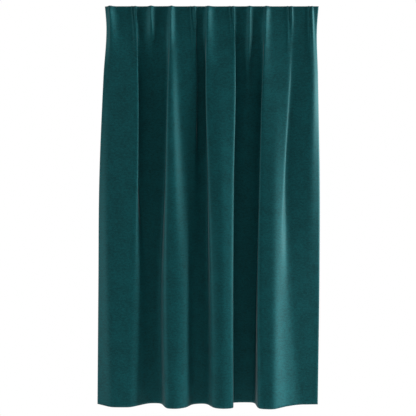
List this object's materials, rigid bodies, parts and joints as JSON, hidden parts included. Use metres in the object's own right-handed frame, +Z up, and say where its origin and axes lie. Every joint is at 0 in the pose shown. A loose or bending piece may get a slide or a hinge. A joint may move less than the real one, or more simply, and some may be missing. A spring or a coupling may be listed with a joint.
{
  "type": "velvet curtain panel",
  "caption": "Hanging velvet curtain panel in soft uneven vertical folds, with pinched ridges at its flat top edge and a woven heading tape behind it.",
  "frame": {"origin": "middle of the top edge, in the plane that the heading hangs in", "axes": "+Z up, -Y towards the room, +X to the right seen from the room"},
  "size_m": [1.2846, 0.1208, 2.2901],
  "materials": {
    "velvet": "dense short cotton velvet pile, deep teal, dull face on and light where it turns away",
    "woven_tape": "plain ribbed woven tape, dyed to match"
  },
  "bodies": {
    "root": {"panel": "velvet", "heading_tape": "woven_tape"}
  },
  "joints": []
}
